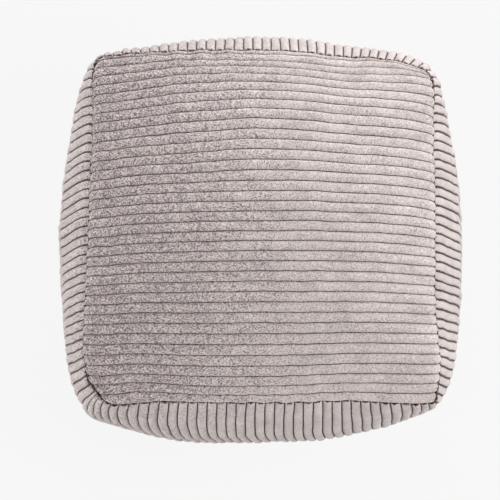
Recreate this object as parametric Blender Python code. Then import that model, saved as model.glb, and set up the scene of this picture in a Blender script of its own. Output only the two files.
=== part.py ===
"""A square bean bag footstool in jumbo corduroy.

Six filled panels meet at plain seams: a crowned top, four bulging sides and a base that is pressed
flat where it rests. Each panel is one solid that holds its share of the filling, in to the middle of
the bag. The panels carry the raised wales of the cloth, which run left to right over the top and the
base and upright on the sides. The filling has settled a little unevenly, so the seam round the top
runs in at its corners, most at the front left. Metres, +Z up, origin on the floor under the middle,
front at -Y.
"""

from collections import namedtuple
from math import cos, radians, sin

import bmesh
import bpy
import numpy as np

MM = 0.001

# The bag, over the crests of its wales, is 400 mm wide and deep and 360 mm high
HEIGHT = 0.360

# The cloth
CAP_WALES = 36              # wales across the top, and across the base
WALE_HEIGHT = 0.003         # crest above groove
SHOULDERS = (0.25, 0.75)    # where the crest of a wale starts and ends, as shares of its width
END_RISE = ((0.0, 0.0), (0.002, 0.75), (0.006, 1.0))  # from the seam: distance, share of the wale height

# The bag seen from above at the foot of its wales, in millimetres. Each outline is four edges, clockwise
# from the back right corner: right side from back to front, front from right to left, left side from
# front to back, back from left to right
TOP_SEAM = (
    ((155, 148.5), (160, 141.5), (162.8, 132), (163.2, 115), (163, 78), (163.8, 33), (163.3, -30),
     (163.7, -80), (166.2, -108), (167.5, -132), (165, -147), (163, -156), (162, -163.5)),
    ((162, -163.5), (147, -164.5), (129, -164.3), (83, -162), (36, -163.3), (-51, -163.4), (-98, -162.6),
     (-131, -165), (-140, -165)),
    ((-140, -165), (-146, -161.5), (-153, -155.5), (-158.5, -147), (-162, -139), (-165.5, -123),
     (-166.4, -103), (-165, -66), (-163, -28), (-161.5, 16), (-160, 62), (-159, 110), (-159.2, 134),
     (-158, 146), (-154.5, 158)),
    ((-154.5, 158), (-148, 161.5), (-134, 162.8), (-104, 164.8), (-57, 166.2), (-10, 166), (37, 164.4),
     (79, 160.2), (105, 159.5), (126, 157.2), (142, 153.3), (155, 148.5)),
)
BELLY = (
    ((167, 170), (175, 156), (183, 121), (190, 81), (194.8, 41), (196.6, 0), (195.3, -60), (190, -105),
     (182.4, -137), (167, -163)),
    ((167, -163), (138, -175), (98, -185.8), (60, -193.4), (0, -196.1), (-60, -195.7), (-98, -191.5),
     (-138, -180), (-168, -165)),
    ((-168, -165), (-183.5, -137), (-189, -108), (-193.4, -60), (-196.6, 0), (-194.3, 45), (-188.6, 85),
     (-182.5, 125), (-174, 156), (-167, 171)),
    ((-167, 171), (-138, 183), (-98, 188.6), (-57, 194.3), (0, 196.6), (40, 195.1), (79, 188.8),
     (118, 184), (150, 178.5), (167, 170)),
)
BASE_SEAM = (
    ((164, 165), (170, 60), (171, -60), (166, -166)),
    ((166, -166), (60, -170), (-60, -170.5), (-165, -167)),
    ((-165, -167), (-171, -60), (-169.5, 60), (-163, 165)),
    ((-163, 165), (-60, 170), (60, 169.5), (164, 165)),
)
BELLY_LEVEL = 0.165         # the bag is widest here
TOP_SEAM_LEVEL = 0.312      # each seam's level at the middle of a side
BASE_SEAM_LEVEL = 0.020
TOP_CORNER_LEVELS = (0.302, 0.303, 0.300, 0.303)        # and at its corners, in the outlines' order
BASE_CORNER_LEVELS = (0.024, 0.025, 0.026, 0.023)
SIDE_ROUNDNESS = radians(52)

# The four sides in the outlines' order: name, way that it faces, wales
SIDES = (
    ("side_panel_right", (1, 0, 0), 36),
    ("side_panel_front", (0, -1, 0), 38),
    ("side_panel_left", (-1, 0, 0), 36),
    ("side_panel_back", (0, 1, 0), 37),
)
# Where the upright seams between the sides meet each outline: a corner's number, and a share of the
# edge after it
TOP_MEETINGS = (0, 1, 2.055, 3, 4)
BELLY_MEETINGS = (0.02, 0.99, 2.02, 3, 4.02)
BASE_MEETINGS = (0, 1, 2, 3, 4)

CROWN = HEIGHT - WALE_HEIGHT - TOP_SEAM_LEVEL
CROWN_POWER = 2.1           # higher is flatter in the middle and steeper at the seams
CROWN_EDGE = 0.92           # under 1 the crown is steeper at its seams
REST_POWER = 8              # the base rolls up from the floor only near its seam
REST_SHARE = 0.15           # of that roll, the share which the floor presses flat

# Corners of the bag that the seams draw in: place, depth, reach
DRAWN_CORNERS = (
    ((-0.151, -0.157, 0.300), 0.0040, 0.012),
    ((-0.165, -0.167, 0.026), 0.0040, 0.026),
    ((0.166, -0.166, 0.025), 0.0050, 0.028),
    ((-0.163, 0.165, 0.023), 0.0045, 0.026),
    ((0.164, 0.165, 0.024), 0.0040, 0.026),
)

CORE = np.array((0.0, 0.0, BELLY_LEVEL))    # the panels' solids meet here, in the middle of the bag
SEAM_SHIFT = 0.00022        # each panel stands out by this much, which parts neighbours by 0.3 mm

LENGTH_OF_PANEL = 0.345     # along a wale, seam to seam
TOP_STATIONS = 9            # evenly spaced sections along a wale, between its rounded ends
SIDE_STATIONS = 5
BASE_STATIONS = 6
FINE = 301                  # samples that a smooth edge or a section's length is measured with

CLOTH_COLOUR = (0.476, 0.418, 0.402)
CLOTH_ROUGHNESS = 0.92
TOP_SHADE = 1.0             # the nap looks a little lighter on the sides and darker underneath
SIDE_SHADE = 1.04
BASE_SHADE = 0.9
CREASE_ANGLE = radians(50)

# A panel's outside: points indexed across and then along its wales, the stations along them, and
# for each station the places across where its points lie
Outside = namedtuple("Outside", "points stations places")


def clear_scene():
    """Remove every object that the scene starts with."""
    for item in list(bpy.data.objects):
        bpy.data.objects.remove(item, do_unlink=True)


def settle(x, y, z):
    """World points of the bag after the seams have drawn its corners towards the middle."""
    points = np.stack(np.broadcast_arrays(x, y, z), axis=-1)
    drawn = points.copy()
    for corner, depth, reach in DRAWN_CORNERS:
        inward = (CORE - corner) / np.linalg.norm(CORE - corner)
        distance = np.linalg.norm(points - corner, axis=-1, keepdims=True)
        drawn += inward * depth * np.exp(-((distance / reach) ** 2))
    return drawn


def bow(share):
    """0 at both ends of an edge and 1 in its middle."""
    return 1 - share**2


def smooth_run(points):
    """A fine smooth run through points placed by hand, given in millimetres."""
    points = np.array(points) * MM
    knots = np.concatenate(([0.0], np.cumsum(np.linalg.norm(np.diff(points, axis=0), axis=1))))
    places = np.linspace(0, knots[-1], FINE)
    slopes = np.gradient(points, knots, axis=0)
    first = np.clip(np.searchsorted(knots, places, side="right") - 1, 0, len(knots) - 2)
    span = (knots[first + 1] - knots[first])[:, None]
    part = (places - knots[first])[:, None] / span
    return (
        points[first] * (1 + 2 * part) * (1 - part) ** 2
        + slopes[first] * span * part * (1 - part) ** 2
        + points[first + 1] * part**2 * (3 - 2 * part)
        - slopes[first + 1] * span * part**2 * (1 - part)
    )


def edge_offset(edge, axis, place):
    """How far an edge lies out in X or Y, at a place -1 to 1 along its other axis."""
    line = edge if edge[-1, axis] > edge[0, axis] else edge[::-1]
    low, high = line[0, axis], line[-1, axis]
    return np.interp(low + (high - low) * (place + 1) / 2, line[:, axis], line[:, 1 - axis])


def cap_outline(edges, along, across):
    """X and Y of a panel inside its four edges, for shares -1 to 1 to the right and to the back."""
    right, front, left, back = edges
    x_left, x_right = edge_offset(left, 1, across), edge_offset(right, 1, across)
    y_front, y_back = edge_offset(front, 0, along), edge_offset(back, 0, along)
    return x_left + (x_right - x_left) * (1 + along) / 2, y_front + (y_back - y_front) * (1 + across) / 2


def cap_level(corners, middle, along, across):
    """Height of a panel's seam, carried over the whole panel, for shares to the right and to the back."""
    back_right, front_right, front_left, back_left = corners
    right, left = (1 + along) / 2, (1 - along) / 2
    corner = (back_right * right + back_left * left) * (1 + across) / 2
    corner = corner + (front_right * right + front_left * left) * (1 - across) / 2
    rise = middle - sum(corners) / 4
    return corner + rise * (bow(along) + bow(across) - bow(along) * bow(across))


class Loop:
    """A closed seam or outline, clockwise from its back right corner, from its four edges."""

    def __init__(self, edges):
        self.points = np.concatenate(edges)
        steps = np.linalg.norm(np.diff(self.points, axis=0), axis=1)
        self.lengths = np.concatenate(([0.0], np.cumsum(steps)))
        ends = np.cumsum([len(edge) for edge in edges]) - 1
        corners = self.lengths[ends]
        # Two turns, so that a stretch may run past the corner where the loop starts
        self.corners = np.concatenate(([0.0], corners, corners + corners[-1]))

    def between(self, start, end, share):
        """Points at shares 0 to 1 of the way between two places, each a corner's number and a part."""
        first, last = np.interp((start, end), range(9), self.corners)
        length = (first + (last - first) * share) % self.lengths[-1]
        return [np.interp(length, self.lengths, axis) for axis in self.points.T]


TOP_EDGES = [smooth_run(edge) for edge in TOP_SEAM]
BASE_EDGES = [smooth_run(edge) for edge in BASE_SEAM]
BELLY_LOOP = Loop([smooth_run(edge) for edge in BELLY])


def plain_top(along, across):
    """X, Y and Z of the crowned top. Along runs to the right and across runs to the back."""
    x, y = cap_outline(TOP_EDGES, along, across)
    over = (1 - np.abs(along) ** CROWN_POWER) * (1 - np.abs(across) ** CROWN_POWER)
    level = cap_level(TOP_CORNER_LEVELS, TOP_SEAM_LEVEL, along, across)
    return x, y, level + CROWN * np.maximum(over, 0) ** CROWN_EDGE


def plain_base(along, across):
    """X, Y and Z of the base, flat on the floor and rolled up to its seam. Across runs to the front."""
    x, y = cap_outline(BASE_EDGES, along, -across)
    roll = 1 - (1 - np.abs(along) ** REST_POWER) * (1 - np.abs(across) ** REST_POWER)
    lift = np.maximum(roll - REST_SHARE, 0) / (1 - REST_SHARE)
    return x, y, cap_level(BASE_CORNER_LEVELS, BASE_SEAM_LEVEL, along, -across) * lift


def rim(cap, front):
    """The four edges of a cap, clockwise from its back right corner. Across is front at its front edge."""
    run, one = np.linspace(-1, 1, FINE), np.ones(FINE)
    edges = ((one, run * front), (-run, one * front), (-one, -run * front), (run, -one * front))
    return [np.stack(cap(along, across), axis=1) for along, across in edges]


TOP_RIM = Loop(rim(plain_top, -1))
BASE_RIM = Loop(rim(plain_base, 1))


def top_surface(along, across):
    """The top as it has settled."""
    return settle(*plain_top(along, across))


def base_surface(along, across):
    """The base as it has settled."""
    return settle(*plain_base(along, across))


def side_surface(place):
    """A bulging side, by its place in the outlines. Along runs up and across runs to the left."""

    def surface(up, across):
        share = (1 + across) / 2
        top_x, top_y, top_z = TOP_RIM.between(*TOP_MEETINGS[place:place + 2], share)
        base_x, base_y, base_z = BASE_RIM.between(*BASE_MEETINGS[place:place + 2], share)
        belly_x, belly_y = BELLY_LOOP.between(*BELLY_MEETINGS[place:place + 2], share)
        # Arcs that start upright at the belly and end at the seams
        turn = SIDE_ROUNDNESS * np.abs(up)
        inward = (1 - np.cos(turn)) / (1 - cos(SIDE_ROUNDNESS))
        rise = np.sin(turn) / sin(SIDE_ROUNDNESS)
        above = up > 0
        return settle(
            belly_x + (np.where(above, top_x, base_x) - belly_x) * inward,
            belly_y + (np.where(above, top_y, base_y) - belly_y) * inward,
            BELLY_LEVEL + (np.where(above, top_z, base_z) - BELLY_LEVEL) * rise,
        )

    return surface


def even_places(surface, station, shares):
    """Places across a panel, -1 to 1, at equal shares of the length of its section at a station."""
    across = np.linspace(-1, 1, FINE)
    section = surface(np.full(FINE, station), across)
    steps = np.linalg.norm(np.diff(section, axis=0), axis=1)
    run = np.concatenate(([0.0], np.cumsum(steps)))
    return np.interp(shares * run[-1], run, across)


def wale_stations(evenly):
    """Places along a wale, -1 to 1, close together at its rounded ends, with the wale's rise at each."""
    ends = [-1 + 2 * distance / LENGTH_OF_PANEL for distance, _ in END_RISE]
    between = list(np.linspace(ends[-1], -ends[-1], evenly + 2))[1:-1]
    rises = [rise for _, rise in END_RISE]
    stations = ends + between + [-end for end in reversed(ends)]
    return np.array(stations), np.array(rises + [1.0] * evenly + rises[::-1])


def wale_section(wales):
    """Shares of a panel's width, with the rise of the cloth at each: 0 in a groove, 1 on a crest."""
    shares = [(wale + place) / wales for wale in range(wales) for place in (0.0, *SHOULDERS)]
    rises = [0.0, 1.0, 1.0] * wales
    return np.array(shares + [1.0]), np.array(rises + [0.0])


def ribbed_outside(surface, wales, evenly):
    """The outside of a panel, with its wales raised from a surface at the foot of them."""
    stations, end_rises = wale_stations(evenly)
    shares, section_rises = wale_section(wales)
    places = [even_places(surface, station, shares) for station in stations]
    ground = np.stack([surface(station, place) for station, place in zip(stations, places)], axis=1)
    outward = np.cross(np.gradient(ground, axis=1), np.gradient(ground, axis=0))
    outward /= np.linalg.norm(outward, axis=-1, keepdims=True)
    rise = WALE_HEIGHT * section_rises[:, None, None] * end_rises[None, :, None]
    return Outside(ground + outward * rise, stations, places)


def sewn_edge(points):
    """The straight steps round a cap's seam, as a loop. Across runs to the back in these points."""
    return Loop([points[::-1, -1], points[0, ::-1], points[:, 0], points[-1]])


def sew_side(side, place, top_edge, base_edge):
    """Lay the wale ends of a side on the straight steps of the seams that it is sewn to."""
    for column, edge, meetings in ((-1, top_edge, TOP_MEETINGS), (0, base_edge, BASE_MEETINGS)):
        share = (1 + side.places[column]) / 2
        side.points[:, column] = np.stack(edge.between(*meetings[place:place + 2], share), axis=1)


def solid_panel(name, outside, facing, shade):
    """One closed solid: the panel's outside, and straight walls from its seams to the middle of the bag."""
    rows, columns = outside.points.shape[:2]
    points = [tuple(point) for point in outside.points.reshape(-1, 3)]
    points.append(tuple(CORE))
    core = rows * columns
    faces = []
    for row in range(rows - 1):
        for column in range(columns - 1):
            first = row * columns + column
            faces.append((first, first + 1, first + columns + 1, first + columns))
    outline = list(range(columns))
    outline += [row * columns + columns - 1 for row in range(1, rows)]
    outline += [(rows - 1) * columns + column for column in range(columns - 2, -1, -1)]
    outline += [row * columns for row in range(rows - 2, 0, -1)]
    for place, corner in enumerate(outline):
        faces.append((outline[(place + 1) % len(outline)], corner, core))

    mesh = bpy.data.meshes.new(name)
    mesh.from_pydata(points, [], faces)
    mesh.materials.append(cloth(name, shade))
    mesh.shade_smooth()
    mesh.set_sharp_from_angle(angle=CREASE_ANGLE)
    panel = bpy.data.objects.new(name, mesh)
    panel.location = np.array(facing) * SEAM_SHIFT + np.array((0.0, 0.0, SEAM_SHIFT))
    bpy.context.scene.collection.objects.link(panel)
    return panel


def press_flat(panel):
    """Join the faces that lie on the floor into one, and leave the rolled rim as it is."""
    cloth_mesh = bmesh.new()
    cloth_mesh.from_mesh(panel.data)
    resting = [face for face in cloth_mesh.faces if all(corner.co.z == 0.0 for corner in face.verts)]
    bmesh.ops.dissolve_faces(cloth_mesh, faces=resting, use_verts=True)
    cloth_mesh.to_mesh(panel.data)
    cloth_mesh.free()


def cloth(name, shade):
    """The corduroy of one panel."""
    material = bpy.data.materials.new("corduroy_" + name)
    material.use_nodes = True
    shader = material.node_tree.nodes["Principled BSDF"]
    shader.inputs["Base Color"].default_value = (*(part * shade for part in CLOTH_COLOUR), 1.0)
    shader.inputs["Roughness"].default_value = CLOTH_ROUGHNESS
    shader.inputs["Metallic"].default_value = 0.0
    return material


def build():
    """Make the six panels."""
    clear_scene()

    top = ribbed_outside(top_surface, CAP_WALES, TOP_STATIONS)
    solid_panel("top_panel", top, (0, 0, 1), TOP_SHADE)

    base = ribbed_outside(base_surface, CAP_WALES, BASE_STATIONS)
    base.points[..., 2] = np.maximum(base.points[..., 2], 0.0)
    press_flat(solid_panel("base_panel", base, (0, 0, -1), BASE_SHADE))

    top_edge, base_edge = sewn_edge(top.points), sewn_edge(base.points[::-1])
    for place, (name, facing, wales) in enumerate(SIDES):
        side = ribbed_outside(side_surface(place), wales, SIDE_STATIONS)
        sew_side(side, place, top_edge, base_edge)
        solid_panel(name, side, facing, SIDE_SHADE)


build()
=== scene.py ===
"""Dresses the bean bag footstool: jumbo corduroy over a settled bead filling, on a plain pale floor.

Each panel is cut as a fine net of points on the bag's plain form. The filling settles it, the seams
draw it in, and a node tree then raises the wales of the cloth from it. Metres, +Z up, front at -Y.
"""

import math
from functools import partial
from typing import NamedTuple

import bpy
import numpy as np
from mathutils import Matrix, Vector, kdtree


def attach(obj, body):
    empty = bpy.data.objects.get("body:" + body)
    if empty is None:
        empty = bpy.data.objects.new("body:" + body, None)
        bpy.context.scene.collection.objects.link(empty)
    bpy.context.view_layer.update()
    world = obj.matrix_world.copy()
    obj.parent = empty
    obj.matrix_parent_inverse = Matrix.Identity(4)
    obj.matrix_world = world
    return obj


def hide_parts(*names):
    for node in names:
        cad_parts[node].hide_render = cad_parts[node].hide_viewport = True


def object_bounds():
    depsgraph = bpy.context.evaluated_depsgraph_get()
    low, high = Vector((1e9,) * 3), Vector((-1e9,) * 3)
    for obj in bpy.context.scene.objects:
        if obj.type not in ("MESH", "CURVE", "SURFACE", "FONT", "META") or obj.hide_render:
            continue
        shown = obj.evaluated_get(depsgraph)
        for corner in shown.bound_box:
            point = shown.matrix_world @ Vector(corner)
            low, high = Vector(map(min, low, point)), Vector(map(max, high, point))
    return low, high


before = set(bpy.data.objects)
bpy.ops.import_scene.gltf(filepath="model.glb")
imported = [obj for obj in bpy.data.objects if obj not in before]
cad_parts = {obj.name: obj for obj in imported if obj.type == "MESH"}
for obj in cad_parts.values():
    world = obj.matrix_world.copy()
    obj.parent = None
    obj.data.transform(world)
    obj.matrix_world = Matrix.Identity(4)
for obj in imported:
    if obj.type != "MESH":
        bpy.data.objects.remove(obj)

CAD_LOW, CAD_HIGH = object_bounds()

bl_info = {
    "name": "Corduroy bean bag footstool",
    "version": (1, 0, 0),
    "blender": (4, 5, 0),
    "location": "View3D > Sidebar > Footstool",
    "description": "Sews a square bean bag footstool from six panels of jumbo corduroy",
    "category": "Object",
}

MM = 0.001
CREST_HEIGHT = 3.0 * MM     # from the bag's plain form out to the crests
FLAT = 0.345                # size of a panel's flat cloth, from seam to seam
BODY = "root"
CLOTH_NAME = "jumbo corduroy, cut pile, brushed"
TREE_NAME = "raised_wales"
UV_NAME = "cloth"
PHASE = "wale_phase"        # 0 in the groove before a wale, 0.5 on its crest, 1 in the groove after it
TIP = "tip_distance"        # metres from a point to the nearer end of its wale
GAIN = "wale_gain"          # how high this wale stands there, as a share of the full height
WAY = "raising_way"         # the way in which the wales are raised
DROP = "tip_drop"           # how far a wale's end sinks at the seam, as a share of its height
CREST = "crest"             # 0 in a groove and at the sunk ends, which take the groove colour of weave and painted shade, and 1 on the pile
SPECKLE_AND_SHADE = "ruffled"         # how strongly a panel's pile is speckled, and how much of the painted shade at the bag's left it takes

FINE = 301                  # points along an edge or across a section, to measure lengths
# Rows of points over one wale, and points along it, for each kind of panel
TOP_NET = (12, 176)
SIDE_NET = (10, 140)
BASE_NET = (6, 90)
TIP_ROWS = 7                # points along a wale that round its end
CLOSEST = 0.02              # no row lies nearer than this to the last, in wales


# ---------------------------------------------------------------- sizes and colours


class FootstoolSizes(bpy.types.PropertyGroup):
    """The bag and its cloth, at real size."""

    height: bpy.props.FloatProperty(
        name="Height", description="From the floor to the crown",
        default=CAD_HIGH.z - CAD_LOW.z, unit="LENGTH")
    belly_level: bpy.props.FloatProperty(
        name="Belly level", description="Height at which the bag is widest",
        default=0.165, unit="LENGTH")
    top_seam_level: bpy.props.FloatProperty(
        name="Top seam level", description="Height of the top's seam at the middle of a side",
        default=0.312, unit="LENGTH")
    base_seam_level: bpy.props.FloatProperty(
        name="Base seam level", description="Height of the base's seam at the middle of a side",
        default=0.020, unit="LENGTH")
    side_roundness: bpy.props.FloatProperty(
        name="Side roundness", description="Angle of the arc from the belly to a seam",
        default=math.radians(52), subtype="ANGLE")
    base_wales: bpy.props.FloatProperty(
        name="Wales of the base", description="Wales across the base", default=36.0, min=4.0)
    top_wales: bpy.props.FloatProperty(
        name="Wales of the top", description="The last one is half hidden in the back seam",
        default=36.45, min=4.0)
    wale_height: bpy.props.FloatProperty(
        name="Wale height", description="From the groove to the crest", default=3.4 * MM, unit="LENGTH")
    wale_roundness: bpy.props.FloatProperty(
        name="Wale roundness", description="2 is an ellipse; higher is fuller, with narrower grooves",
        default=2.3, min=1.5)
    tip_radius: bpy.props.FloatProperty(
        name="Tip radius", description="How far from a seam the end of a wale is rounded",
        default=4.2 * MM, unit="LENGTH")
    pile_unevenness: bpy.props.FloatProperty(
        name="Pile unevenness", description="How far tufts of pile stand out from one another",
        default=0.15 * MM, unit="LENGTH")
    seam_tuck: bpy.props.FloatProperty(
        name="Seam tuck", description="How far the seams sink between the panels",
        default=0.5 * MM, unit="LENGTH")
    tuck_reach: bpy.props.FloatProperty(
        name="Tuck reach", description="How far from a seam the cloth is pulled in by it",
        default=5.0 * MM, unit="LENGTH")
    seed: bpy.props.IntProperty(
        name="Seed", description="Chooses the small unevenness of the cloth", default=7)


class FootstoolColours(bpy.types.PropertyGroup):
    """Colours of the cloth and the floor, as sRGB hex."""

    pile: bpy.props.StringProperty(
        name="Pile", description="Crest of the wales, brushed", default="#DACFCB")
    # The dark end of the pile's speckle; the painted shade at the bag's left also mixes towards it
    pile_deep: bpy.props.StringProperty(
        name="Pile, brushed the other way", description="Tufts that lean away from the light",
        default="#6C6163")
    # Ground weave, darkened as painted shade in the grooves and at the sunk ends of the wales
    groove: bpy.props.StringProperty(
        name="Groove", description="Ground weave between the wales", default="#2A1411")
    sheen: bpy.props.StringProperty(
        name="Sheen", description="Tips of the pile against the light", default="#F2EDEB")
    floor: bpy.props.StringProperty(
        name="Floor", description="Acrylic sheet under the bag, unlit", default="#3C3C3C")


class FootstoolStage(bpy.types.PropertyGroup):
    """Camera, lights and floor."""

    camera_tilt: bpy.props.FloatProperty(
        name="Camera tilt", description="From straight above, towards the front",
        default=math.radians(5.7), subtype="ANGLE")
    camera_distance: bpy.props.FloatProperty(
        name="Camera distance", description="From the camera to the bag's belly",
        default=2.4, unit="LENGTH")
    field: bpy.props.FloatProperty(
        name="Field", description="Width of the picture at the level of the belly",
        default=0.4955, unit="LENGTH")
    right_power: bpy.props.FloatProperty(
        name="Right light", description="Soft key light from the right", default=43.0, unit="POWER")
    back_power: bpy.props.FloatProperty(
        name="Back light", description="Soft key light from behind", default=42.0, unit="POWER")
    low_power: bpy.props.FloatProperty(
        name="Low light", description="Fills the left side from low down", default=33.0, unit="POWER")
    room_light: bpy.props.FloatProperty(
        name="Room light", description="Even light from all round", default=0.55, subtype="FACTOR")
    floor_glow: bpy.props.FloatProperty(
        name="Floor glow", description="Light that comes up through the floor",
        default=0.88, subtype="FACTOR")


# The bag seen from above at the foot of its wales, in millimetres. Each outline is four edges, clockwise
# from the back right corner: right side from back to front, front from right to left, left side from
# front to back, back from left to right
TOP_SEAM = (
    ((155, 148.5), (160, 141.5), (162.8, 132), (163.2, 115), (163, 78), (163.8, 33), (163.3, -30),
     (163.7, -80), (166.2, -108), (167.5, -132), (165, -147), (163, -156), (162, -163.5)),
    ((162, -163.5), (147, -164.5), (129, -164.3), (83, -162), (36, -163.3), (-51, -163.4), (-98, -162.6),
     (-131, -165), (-140, -165)),
    ((-140, -165), (-146, -161.5), (-153, -155.5), (-158.5, -147), (-162, -139), (-165.5, -123),
     (-166.4, -103), (-165, -66), (-163, -28), (-161.5, 16), (-160, 62), (-159, 110), (-159.2, 134),
     (-158, 146), (-154.5, 158)),
    ((-154.5, 158), (-148, 161.5), (-134, 162.8), (-104, 164.8), (-57, 166.2), (-10, 166), (37, 164.4),
     (79, 160.2), (105, 159.5), (126, 157.2), (142, 153.3), (155, 148.5)),
)
BELLY = (
    ((163.5, 167), (170.5, 154), (175.5, 139), (180.3, 121), (188.4, 81), (193.4, 41), (195.2, 0),
     (193.9, -60), (188.6, -105), (182.6, -137), (177, -151), (168, -164)),
    ((168, -164), (152, -169), (138, -174), (98, -185.2), (60, -191.8), (0, -194.6), (-60, -193.8),
     (-98, -189.7), (-138, -179.6), (-158, -174), (-165, -171.5), (-169.5, -167)),
    ((-169.5, -167), (-182.9, -137), (-187.9, -108), (-192.5, -60), (-195, 0), (-192.6, 45), (-187.2, 85),
     (-180.3, 125), (-171.3, 156), (-164.5, 168.5)),
    ((-164.5, 168.5), (-138, 177), (-98, 186.7), (-57, 193), (0, 197.2), (40, 195), (79, 188),
     (118, 181.8), (150, 175), (163.5, 167)),
)
BASE_SEAM = (
    ((164, 165), (170, 60), (171, -60), (166, -166)),
    ((166, -166), (60, -170), (-60, -170.5), (-165, -167)),
    ((-165, -167), (-171, -60), (-169.5, 60), (-163, 165)),
    ((-163, 165), (-60, 170), (60, 169.5), (164, 165)),
)
# Levels of those seams at their four corners, in the same order
TOP_CORNER_LEVELS = (302, 303, 300, 303)
BASE_CORNER_LEVELS = (24, 25, 26, 23)
# Where the upright seams meet those outlines: a corner's number, and a share of the edge after it
TOP_MEETINGS = (0, 1, 2.055, 3, 4)
BELLY_MEETINGS = (0.02, 0.99, 2.02, 3, 4.02)
BASE_MEETINGS = (0, 1, 2, 3, 4)
SIDES = ("right", "front", "left", "back")
SIDE_WALES = (36, 38, 36, 37)


class Finish(NamedTuple):
    """How the wales of one panel lie."""

    tip: float = 1.0            # share of the tip radius: tight seams square the ends of the wales
    tip_drop: float = 1.0       # how far the ends sink, which is less where wales meet end to end
    height: float = 1.0         # share of the wale height
    fullness: float = 1.0       # share of the wale roundness: stretched cloth has narrower grooves
    groove: float = 0.15        # how much of half a wale takes the dark groove colour: ground weave and painted shade
    ruffled: float = 1.0        # how speckled the pile is, and how much of the painted shade at the bag's left the panel takes


TOP_FINISH = Finish(tip=0.8, tip_drop=0.55, groove=0.13)
# The sides' wider groove shares paint more shade into their grooves, the most on the right
SIDE_FINISHES = {
    "right": Finish(tip=0.8, tip_drop=0.5, height=1.1, fullness=1.15, groove=0.46, ruffled=0.45),
    "front": Finish(tip=0.4, fullness=1.15, groove=0.22, ruffled=0.45),
    "left": Finish(tip=0.8, tip_drop=0.5, height=1.1, fullness=1.15, groove=0.37, ruffled=0.45),
    "back": Finish(tip=0.55, groove=0.28, ruffled=0.6),
}
BASE_FINISH = Finish(height=0.9, groove=0.2, ruffled=0.7)
CORNER_REACH = 26 * MM      # near a corner the ends of the wales sink all the way, and are painted dark as shade
CORNER_ROUND = 0.6          # and are rounder, by this share
CREASE_REACH = 42 * MM      # the creases run this far from the seams
INSIDE = 0.93               # where the spacing of the wales is measured, just inside the seams

# Soft unevenness of a panel: its size, and its longest and shortest waves
WAVER = (0.2 * MM, 0.11, 0.028)     # the grooves, sideways
LUMPS = (0.6 * MM, 0.16, 0.05)      # the cloth, outwards, where the beads behind it have shifted
SWELLS = (0.10, 0.12, 0.03)         # the height of a wale along its length, as a share
SWELL_SQUEEZE = 3                   # this varies so many times as fast from one wale to the next
WALE_SPREAD = 0.05                  # how much whole wales differ in height, as a share
LUMPS_FADE = 25 * MM                # the lumps fade this near to a seam

# How far wales have slipped from an even spacing, in wales: at places along a wale, for wales counted
# across the panel. Along the top the places run from left to right, and on a side upwards. A panel's
# first and last wales are sewn down, and don't slip
TOP_SLIP_PLACES = (-1, -0.8, -0.45, -0.05, 0.35, 0.8, 1)
TOP_SLIP = {
    1: (0.6, 0.65, 0.22, 0.05, 0.05, 0.1, 0.1),
    3: (0.85, 0.68, 0.32, 0.1, 0.05, 0.17, 0.17),
    8: (1, 0.78, 0.58, 0.48, 0.36, 0.43, 0.5),
    14: (0.87, 0.63, 0.49, 0.46, 0.4, 0.5, 0.6),
    21: (0.57, 0.41, 0.19, 0.13, 0.2, 0.44, 0.67),
    26: (0.45, 0.24, 0.1, 0.31, 0.24, 0.52, 0.88),
    31: (0.4, 0.2, 0.39, 0.56, 0.37, 0.67, 1.07),
    34: (0.2, 0.2, 0.39, 0.31, 0.08, 0.55, 1.2),
    36: (0.05, 0.07, 0, -0.1, -0.11, 0.05, 0),
}
SIDE_SLIP_PLACES = (-1, 0, 0.35, 0.6, 0.8, 1)
SIDE_SLIP = {
    "right": {
        5: (0, 0.4, 0.2, 0.2, 0.12, -0.07),
        10: (0, 1.05, 0.48, 0.49, 0.3, -0.05),
        15: (0, 1.25, 0.62, 0.6, 0.34, -0.07),
        20: (0, 1.2, 0.58, 0.61, 0.4, -0.07),
        25: (0, 0.85, 0.32, 0.35, 0.28, -0.05),
        31: (0, 0.3, 0.15, 0.23, 0.28, 0),
    },
    "front": {
        2: (0, -0.1, -0.1, -0.2, -0.3, -0.35),
        6: (0, -0.1, 0.08, 0.06, 0.14, 0.12),
        12: (0, -0.2, 0.28, 0.37, 0.4, 0.4),
        20: (0, -0.6, 0.25, 0.46, 0.66, 0.85),
        26: (0, -0.9, 0.1, 0.55, 0.88, 1.2),
        30: (0, -1.1, 0.12, 0.75, 1.1, 1.45),
        34: (0, -1, 0.3, 0.95, 1.42, 1.8),
        36: (0, -0.8, 0.1, 0.6, 1, 1.2),
    },
    "left": {
        5: (0, -0.2, 0.03, 0.02, -0.15, -0.05),
        10: (0, -0.9, -0.37, -0.28, -0.27, -0.02),
        15: (0, -1.4, -0.65, -0.52, -0.3, -0.04),
        20: (0, -1.7, -0.88, -0.68, -0.36, 0),
        25: (0, -1.7, -0.9, -0.75, -0.35, -0.02),
        29: (0, -1.4, -0.7, -0.56, -0.3, -0.03),
        33: (0, -0.5, -0.3, -0.33, -0.23, 0),
    },
    "back": {
        10: (0, 0.45, 0.52, 0.45, 0.35, 0.27),
        14: (0, 0.4, 0.46, 0.46, 0.46, 0.46),
        19: (0, 0.2, 0.2, 0.33, 0.46, 0.6),
        25: (0, 0, -0.05, 0.18, 0.38, 0.65),
        31: (0, 0, 0, 0.1, 0.22, 0.4),
    },
}
TOP_SLIPS = (TOP_SLIP_PLACES, TOP_SLIP)
# The base, which rests on the floor, lies even
BASE_SLIPS = ((-1, 1), {})

# Corners of the bag that the seams draw in: place, depth, reach
DRAWN_CORNERS = (
    ((-0.165, -0.167, 0.026), 4.0 * MM, 26 * MM),
    ((0.166, -0.166, 0.025), 5.0 * MM, 28 * MM),
    ((-0.163, 0.165, 0.023), 4.5 * MM, 26 * MM),
    ((0.164, 0.165, 0.024), 4.0 * MM, 26 * MM),
)
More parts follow.
